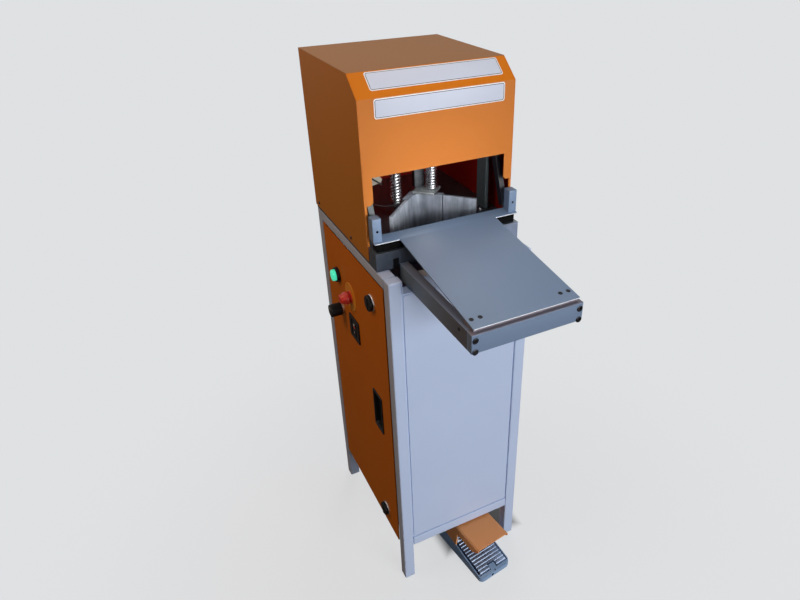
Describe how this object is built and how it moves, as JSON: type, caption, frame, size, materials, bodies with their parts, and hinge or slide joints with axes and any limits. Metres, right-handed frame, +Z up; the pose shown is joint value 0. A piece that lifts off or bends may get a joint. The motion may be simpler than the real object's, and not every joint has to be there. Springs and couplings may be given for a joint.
{
  "type": "case corner rounding machine",
  "caption": "Floor-standing press for rounding the corners of hard case boards, with sloping infeed table, sheet hood, tube-frame cabinet and foot pedal.",
  "frame": {"origin": "on the floor, under the middle of the whole machine's box", "axes": "+Z up, +Y towards the machine's back, +X to the right of someone who stands in front of it"},
  "size_m": [0.3998, 0.734, 1.375],
  "materials": {
    "orange_paint": "textured powder coat",
    "grey_paint": "smooth powder coat",
    "slate_paint": "semi-gloss enamel",
    "ground_steel": "surface ground",
    "bright_steel": "polished",
    "black_plastic": "moulded",
    "red_plastic": "moulded",
    "yellow_plastic": "moulded",
    "green_lens": "moulded, lit",
    "cast_alloy": "die cast"
  },
  "bodies": {
    "machine": {"post_front_left": "grey_paint", "post_front_right": "grey_paint", "post_rear_left": "grey_paint", "post_rear_right": "grey_paint", "bottom_rail_front": "grey_paint", "bottom_rail_rear": "grey_paint", "bottom_rail_left": "grey_paint", "bottom_rail_right": "grey_paint", "top_rail_front": "grey_paint", "top_rail_rear": "grey_paint", "top_rail_left": "grey_paint", "top_rail_right": "grey_paint", "front_panel": "grey_paint", "back_panel": "grey_paint", "floor_panel": "grey_paint", "right_panel": "orange_paint", "base_block": "slate_paint", "hood_front": "orange_paint", "hood_side_left": "orange_paint", "hood_side_right": "orange_paint", "hood_back": "orange_paint", "table_plate": "slate_paint", "table_packer": "slate_paint", "table_rest": "slate_paint", "side_bar_left": "slate_paint", "side_bar_right": "slate_paint", "front_bar": "slate_paint", "fence_left": "ground_steel", "fence_right": "ground_steel", "forming_block": "ground_steel", "guide_post": "bright_steel", "guide_spring": "bright_steel", "spring_collar": "bright_steel", "crosshead": "slate_paint", "column_left": "slate_paint", "column_right": "slate_paint", "clamp_spring": "bright_steel", "pedal_base": "cast_alloy", "pedal_guard": "orange_paint"},
    "clamp": {"clamp_foot": "ground_steel", "clamp_rod": "bright_steel", "ram_bar": "ground_steel"},
    "door": {"side_door": "orange_paint", "door_pull": "black_plastic", "power_switch": "black_plastic", "start_bezel": "black_plastic", "stop_ring": "yellow_plastic", "regulator_collar": "bright_steel"},
    "start": {"start_button": "green_lens"},
    "stop": {"stop_button": "red_plastic"},
    "regulator": {"regulator_knob": "black_plastic"},
    "upper_latch": {"latch_upper": "black_plastic"},
    "lower_latch": {"latch_lower": "black_plastic"},
    "tread": {"foot_tread": "cast_alloy"}
  },
  "joints": [
    {"name": "door_swing", "type": "hinge", "parent": "machine", "child": "door", "pos_m": [-0.1561, 0.3228, 0.5], "axis": [0, 0, -1], "range_deg": [0, 110]},
    {"name": "start_press", "type": "slide", "parent": "door", "child": "start", "axis": [1, 0, 0], "range_m": [0, 0.003], "stiffness_N_per_m": 400, "springref_m": -0.002},
    {"name": "stop_press", "type": "slide", "parent": "door", "child": "stop", "axis": [1, 0, 0], "range_m": [0, 0.004]},
    {"name": "regulator_turn", "type": "hinge", "parent": "door", "child": "regulator", "pos_m": [-0.1621, 0.227, 0.735], "axis": [-1, 0, 0], "range_deg": [-135, 135]},
    {"name": "upper_latch_turn", "type": "hinge", "parent": "door", "child": "upper_latch", "pos_m": [-0.1621, 0.002, 0.873], "axis": [-1, 0, 0], "range_deg": [0, 90]},
    {"name": "lower_latch_turn", "type": "hinge", "parent": "door", "child": "lower_latch", "pos_m": [-0.1621, 0.004, 0.184], "axis": [-1, 0, 0], "range_deg": [0, 90]},
    {"name": "clamp_lift", "type": "slide", "parent": "machine", "child": "clamp", "axis": [0, 0, 1], "range_m": [0, 0.012], "stiffness_N_per_m": 1000, "springref_m": -0.01, "deforming": ["clamp_spring"]},
    {"name": "tread_press", "type": "hinge", "parent": "machine", "child": "tread", "pos_m": [0.0727, -0.19915, 0.01261], "axis": [-0.9905, -0.1374, 0], "range_deg": [0, 4], "stiffness_Nm_per_rad": 6, "springref_deg": -11.46}
  ]
}
